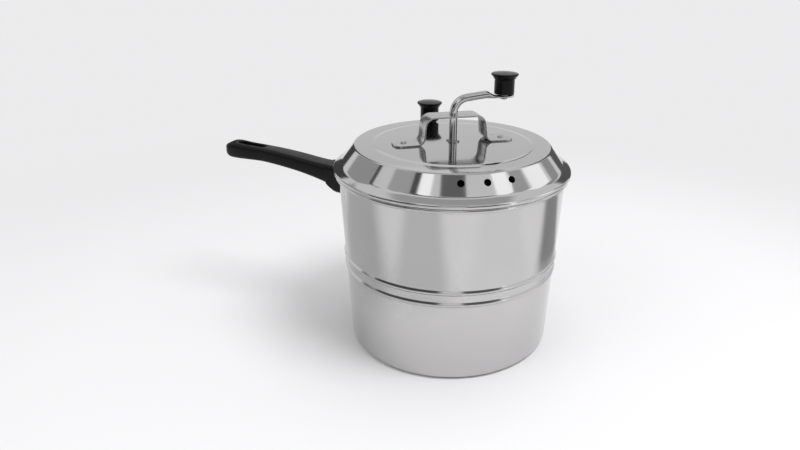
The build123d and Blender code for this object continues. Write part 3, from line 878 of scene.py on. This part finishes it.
GUARD_STATIONS = (
    (104.0, 33.0, 139.4, 165.6),
    (117.0, 29.0, 139.2, 166.4),
    (124.0, 26.6, 140.6, 167.2),
    (131.6, 25.4, 146.4, 168.2),
)
GRIP_STATIONS = (
    (131.7, 24.4, 147.6, 167.6),
    (139.8, 24.2, 150.4, 168.5),
    (148.0, 24.0, 152.8, 169.7),
    (158.5, 23.9, 155.6, 171.4),
    (170.0, 23.6, 158.0, 173.2),
    (190.0, 22.0, 161.2, 175.8),
    (207.0, 20.6, 163.0, 177.4),
    (224.0, 21.2, 163.4, 178.6),
    (238.0, 21.6, 163.8, 180.0),
    (245.0, 19.4, 164.8, 179.2),
    (248.8, 13.6, 167.2, 177.0),
)


class PopperHandle(bpy.types.Operator):
    """Moulded heat guard and swept-up grip with a hanging slot"""

    bl_idname = "popper.handle"
    bl_label = "Handle"

    def execute(self, context):
        handle, pan = context.scene.popper_handle, context.scene.popper_pan
        bm, inner = self.moulding(handle, GUARD_STATIONS, 112.0, handle.guard_end / MM, 12, (0.0, 0.35))
        for vert in inner:
            wall = pan.base_radius + pan.flare * vert.co.z + GUARD_GAP
            vert.co.x = -sqrt(wall**2 - vert.co.y**2)
        piece("guard_body", bm, "pot", handle_moulding(), ["handle_base"])
        bm, _ = self.moulding(handle, GRIP_STATIONS, GRIP_STATIONS[0][0], handle.tip / MM, 46, (0.35, 0.9))
        made = piece("grip_body", bm, "pot", handle_moulding(), ["handle_grip"])
        tools = bmesh.new()
        self.slot(tools, handle)
        depth = 20 * MM
        pocket = Matrix.Translation((-handle.screw_reach, 0, handle.screw_seat - depth / 2))
        peg(tools, handle.screw_pocket, depth, pocket)
        cut(made, tools)
        return {"FINISHED"}

    def moulding(self, handle, table, start, end, steps, insets):
        """A closed shape through stations, with its first and last ring drawn in by insets in millimetres."""
        rows = [(start + (end - start) * step / steps) for step in range(steps + 1)]
        rows = [rows[0]] + [rows[0] + 0.5] * (insets[0] > 0) + rows[1:-1] + [rows[-1] - 0.8, rows[-1] - 0.3, rows[-1]]
        drawn = [insets[0]] + [0.0] * (len(rows) - 3) + [insets[1] * 0.35, insets[1]]
        stations = []
        for reach, inset in zip(rows, drawn):
            wide, low, high = between(table, reach)
            centre = Vector((-reach, 0.0, (low + high) / 2)) * MM
            stations.append((centre, 0.0, (wide - 2 * inset) * MM, (high - low - 2 * inset) * MM))
        bm = bmesh.new()
        unit = (stations[len(rows) // 2][2], stations[len(rows) // 2][3])
        first, _ = through(bm, oblong_ring(bm, *unit, handle.corner, 6), stations, unit)
        bmesh.ops.recalc_face_normals(bm, faces=bm.faces[:])
        return bm, first

    def slot(self, tools, handle):
        """A cutter for the hanging slot, flared where it meets the top and the underside."""
        across = (handle.slot_length, handle.slot_width)
        levels = []
        for side, column in ((1, 1), (-1, 2)):
            spots = [(handle.slot_reach + way * handle.slot_length / 2) / MM for way in (-1, 1)]
            near, far = (between(GRIP_STATIONS, spot)[column] * MM for spot in spots)
            slope = (near - far) / handle.slot_length
            height = (near + far) / 2
            flares = ((-2.0, 1.0), (-0.1, 1.0), (0.25, 0.42), (0.9, 0.1), (1.6, 0.0))
            row = [(height + side * up * handle.slot_flare, slope, out * handle.slot_flare) for up, out in flares]
            levels += row if side > 0 else row[::-1]
        flat = Matrix.Rotation(-pi / 2, 4, "Y")
        ring = oblong_ring(tools, across[1], across[0], across[1] / 2 - 1e-5, 10)
        bmesh.ops.transform(tools, matrix=flat, verts=ring)
        before, first = Matrix.Identity(4), ring
        for step, (height, slope, out) in enumerate(levels):
            grown = Matrix.Diagonal((1 + 2 * out / across[0], 1 + 2 * out / across[1], 1.0, 1.0))
            shear = Matrix.Identity(4)
            shear[2][0] = slope
            now = Matrix.Translation((-handle.slot_reach, 0, height)) @ shear @ grown
            if step:
                ring = carried(tools, ring, now @ before.inverted())
            else:
                bmesh.ops.transform(tools, matrix=now, verts=ring)
            before = now
        close_ring(tools, first)
        close_ring(tools, ring)
        bmesh.ops.recalc_face_normals(tools, faces=tools.faces[:])


FLOOR_RADIUS = 30.0
FLOOR_DROP = 0.2 * MM  # keeps the floor clear of the pan's base
LIT_FLOOR = (0.35, 0.9)  # distances from the axis between which the lit floor becomes plain backdrop
CARDS_HEIGHT = 0.19  # level from which the elevations of the cards count
FLOOR_CARDS_LIFT = 1.5 * MM
FLOOR_CARDS_STEP = 0.2 * MM  # keeps each card on the floor clear of the one before
CARDS_FIRM = 0.8  # share of a card's half width that doesn't fade
FLOOR_CARDS_FIRM = 0.5
# azimuth from the camera to its right, distance from the axis, height and diameter in metres, power in watts
LAMPS = (
    ("key_lamp", 55, 0.8, 1.6, 0.8, 14.5),
    ("top_lamp", 120, 0.3, 2.0, 1.4, 6.0),
    ("fill_lamp", -60, 1.5, 1.1, 1.4, 5.0),
)
# Glowing cards that are no lamps and light nothing, seen only in reflections: painted reflections, the bright ones
# painted highlights and the dark ones painted dark bands on the metal.
# azimuth from the camera to its right, elevation, distance in metres, width and height in degrees, brightness
REFLECTED_CARDS = (
    ("ceiling_gap", 2, 51, 1.3, 22, 20, 0.17),
    ("left_strip", -33, 49, 1.3, 11, 16, 1.45),
    ("left_pole", -45, 46, 1.2, 6, 26, 0.08),
    ("left_wall", -60, 43, 1.3, 24, 18, 0.5),
    ("left_edge", -92, 32, 1.2, 4, 24, 0.1),
    ("left_curtain", -112, 24, 1.3, 34, 30, 0.42),
    ("left_door", -146, 17, 1.3, 20, 56, 0.07),
    ("right_strip", 62, 43, 1.3, 15, 18, 1.45),
    ("right_wall", 80, 37, 1.3, 16, 18, 0.5),
    ("right_window", 103, 28, 1.3, 22, 26, 1.4),
    ("right_curtain", 124, 18, 1.3, 14, 30, 0.4),
    ("right_door", 148, 17, 1.3, 24, 56, 0.12),
    ("ceiling_band", 0, 68, 1.2, 80, 8, 0.14),
    ("overhead", 180, 77, 1.3, 60, 36, 0.48),
    ("back_wall", 180, 16, 1.4, 60, 16, 0.7),
    ("left_gap", -45, 22, 1.15, 72, 28, 0.08),
    ("right_gap", 33, 22, 1.15, 40, 28, 0.12),
    # painted glints on the rod, the knobs' columns and the pan's beads
    ("low_strip", 54, -9, 1.15, 6, 11, 5.0),
    ("low_left", -62, -3, 1.25, 74, 26, 0.22),
    ("low_front", 8, -3, 1.3, 74, 26, 0.3),
)
# Glowing cards lying on the floor that only mirrors see: painted reflections of the floor's light and shade, darker
# where it lies in shade and lighter where it is lit.
# azimuth, distance from the axis, width and depth in metres, brightness
FLOOR_CARDS = (
    ("floor_left", -95, 0.33, 0.45, 0.5, 0.57),
    ("floor_front", -25, 0.36, 0.3, 0.4, 0.72),
    ("floor_front_right", 45, 0.38, 0.35, 0.42, 0.95),
    ("floor_right", 110, 0.38, 0.26, 0.4, 0.33),
    ("floor_back_left", -137, 0.33, 0.25, 0.35, 0.7),
    # painted shade on the handle's side: a dark card that its skin mirrors
    ("floor_far_left", -47, 0.66, 0.55, 0.4, 0.25),
)


class PopperStage(bpy.types.Operator):
    """Pale floor, room, soft lamps, the glowing cards that paint the metal's reflections, and the camera"""

    bl_idname = "popper.stage"
    bl_label = "Stage"

    def execute(self, context):
        stage = context.scene.popper_stage
        self.floor(stage)
        self.room(context, stage)
        self.lamps(context, stage)
        self.cards(context, stage)
        self.camera(context, stage)
        return {"FINISHED"}

    def heading(self, stage, degrees):
        """Level direction at an angle from the camera, towards its right."""
        angle = stage.camera_azimuth + radians(degrees)
        return Vector((sin(angle), -cos(angle), 0.0))

    def floor(self, stage):
        """A wide pale disc, lit near the pan and of the room's own colour far from it."""
        bm = bmesh.new()
        under = Matrix.Translation((0, 0, -FLOOR_DROP))
        bmesh.ops.create_circle(bm, cap_ends=True, segments=96, radius=FLOOR_RADIUS, matrix=under)
        mesh = bpy.data.meshes.new("floor")
        bm.to_mesh(mesh)
        bm.free()
        made = bpy.data.objects.new("floor", mesh)
        bpy.context.scene.collection.objects.link(made)
        finish = Finish(bpy.data.materials.new("floor_paint"))
        _, reach, _ = around(finish)
        fleck = finish.noise(finish.place(), 400.0, 2.0)
        shade = finish.blend(fleck, shaded(stage.backdrop), shaded(stage.backdrop, 0.99))
        matt = finish.node("ShaderNodeBsdfDiffuse", None, Color=shade)["BSDF"]
        plain = finish.node("ShaderNodeEmission", None, Color=shaded(stage.backdrop), Strength=1.0)["Emission"]
        mixed = finish.node("ShaderNodeMixShader", None, reach.ramp(*LIT_FLOOR), matt, plain)["Shader"]
        finish.node("ShaderNodeOutputMaterial", None, Surface=mixed)
        mesh.materials.append(finish.owner)

    def room(self, context, stage):
        """Even light all round, and the backdrop's colour where it is seen or mirrored."""
        world = bpy.data.worlds.new("room")
        context.scene.world = world
        finish = Finish(world)
        path = finish.node("ShaderNodeLightPath")
        seen = (path["Is Camera Ray"] + path["Is Glossy Ray"] + path["Is Transmission Ray"]).math("MINIMUM", 1.0)
        even = finish.node("ShaderNodeBackground", None, (1.0, 1.0, 1.0, 1.0), stage.room_light)["Background"]
        shown = finish.node("ShaderNodeBackground", None, shaded(stage.backdrop), 1.0)["Background"]
        mixed = finish.node("ShaderNodeMixShader", None, seen, even, shown)["Shader"]
        finish.node("ShaderNodeOutputWorld", None, Surface=mixed)

    def lamps(self, context, stage):
        """Large soft lamps: one high on the right, one above and one low on the left."""
        for name, azimuth, away, height, across, power in LAMPS:
            lamp = bpy.data.lights.new(name, "AREA")
            lamp.shape = "DISK"
            lamp.size = across
            lamp.energy = power
            made = bpy.data.objects.new(name, lamp)
            made.location = self.heading(stage, azimuth) * away + Vector((0, 0, height))
            made.rotation_euler = (made.location - Vector((0, 0, 0.1))).to_track_quat("Z", "Y").to_euler()
            made.visible_glossy = False
            context.scene.collection.objects.link(made)

    def cards(self, context, stage):
        """Glowing cards that are no lamps and that only mirrors see: painted reflections of bright strips and dark
        gaps round the popper, and painted light and shade of its floor as the metal mirrors it.
        """
        middle = Vector((0, 0, CARDS_HEIGHT))
        for name, azimuth, elevation, away, wide, high, level in REFLECTED_CARDS:
            rise = radians(elevation)
            offset = (self.heading(stage, azimuth) * cos(rise) + Vector((0, 0, sin(rise)))) * away
            size_of = [2 * away * tan(radians(angle) / 2) for angle in (wide, high)]
            facing = offset.to_track_quat("Z", "Y").to_matrix().to_4x4()
            self.card(context, name, Matrix.Translation(middle + offset) @ facing, *size_of, level, CARDS_FIRM)
        # cards on the floor: painted reflections of its light and shade
        for step, (name, azimuth, away, wide, deep, level) in enumerate(FLOOR_CARDS):
            place = self.heading(stage, azimuth) * away + Vector((0, 0, FLOOR_CARDS_LIFT + step * FLOOR_CARDS_STEP))
            facing = Matrix.Rotation(stage.camera_azimuth + radians(azimuth), 4, "Z")
            self.card(context, name, Matrix.Translation(place) @ facing, wide, deep, level, FLOOR_CARDS_FIRM)

    def card(self, context, name, placed, wide, high, level, firm):
        """One glowing card, a painted reflection, whose edges fade."""
        bm = bmesh.new()
        bmesh.ops.create_grid(bm, x_segments=1, y_segments=1, size=0.5)
        bmesh.ops.scale(bm, verts=bm.verts[:], vec=(wide, high, 1))
        mesh = bpy.data.meshes.new(name)
        bm.to_mesh(mesh)
        bm.free()
        made = bpy.data.objects.new(name, mesh)
        made.matrix_world = placed
        # seen by mirrors only, so the card's glow is a painted reflection
        for ray in ("camera", "diffuse", "transmission", "volume_scatter", "shadow"):
            setattr(made, "visible_" + ray, False)
        context.scene.collection.objects.link(made)
        finish = Finish(bpy.data.materials.new(name))
        x, y, _ = finish.parts(finish.place())
        inside = (1.0 - abs(x / (wide / 2)).ramp(firm, 1.0)) * (1.0 - abs(y / (high / 2)).ramp(firm, 1.0))
        clear = finish.node("ShaderNodeBsdfTransparent")["BSDF"]
        glow = finish.node("ShaderNodeEmission", None, (1.0, 1.0, 1.0, 1.0), level)["Emission"]
        mixed = finish.node("ShaderNodeMixShader", None, inside, clear, glow)["Shader"]
        finish.node("ShaderNodeOutputMaterial", None, Surface=mixed)
        mesh.materials.append(finish.owner)

    def camera(self, context, stage):
        """The photograph's view."""
        place = self.heading(stage, 0.0) * stage.camera_distance + Vector((0, 0, stage.camera_height))
        aim = Vector((0, 0, stage.aim_height))
        data = bpy.data.cameras.new("camera")
        data.sensor_width = 36.0
        data.lens = stage.focal_pixels / PHOTO_WIDTH * data.sensor_width
        data.shift_x = stage.shift_x
        data.shift_y = stage.shift_y
        made = bpy.data.objects.new("camera", data)
        upright = (place - aim).to_track_quat("Z", "Y").to_matrix().to_4x4()
        made.matrix_world = Matrix.Translation(place) @ upright @ Matrix.Rotation(stage.roll, 4, "Z")
        context.scene.collection.objects.link(made)
        context.scene.camera = made


class PopperPanel(bpy.types.Panel):
    """Lists the popper's operators"""

    bl_idname = "POPPER_PT_pieces"
    bl_label = "Popper"
    bl_space_type = "VIEW_3D"
    bl_region_type = "UI"
    bl_category = "Popper"

    def draw(self, context):
        for operator in OPERATORS:
            self.layout.operator(operator.bl_idname)
        for name, group in SETTINGS.items():
            box = self.layout.box()
            box.label(text=group.__doc__)
            for key in group.__annotations__:
                box.prop(getattr(context.scene, name), key)


OPERATORS = (
    PopperFinishes,
    PopperPan,
    PopperLid,
    PopperStrap,
    PopperCrank,
    PopperKnobs,
    PopperHandle,
    PopperStage,
)
CLASSES = (*SETTINGS.values(), *OPERATORS, PopperPanel)


def register():
    """Register the classes and hang the settings on the scene."""
    for each in CLASSES:
        bpy.utils.register_class(each)
    for name, group in SETTINGS.items():
        setattr(bpy.types.Scene, name, PointerProperty(type=group))


def unregister():
    """Undo register."""
    for name in SETTINGS:
        delattr(bpy.types.Scene, name)
    for each in reversed(CLASSES):
        bpy.utils.unregister_class(each)


def main():
    """Build every piece and the stage."""
    register()
    bpy.context.scene.view_settings.view_transform = "Standard"
    for operator in OPERATORS:
        family, action = operator.bl_idname.split(".")
        getattr(getattr(bpy.ops, family), action)()


if __name__ == "__main__":
    main()
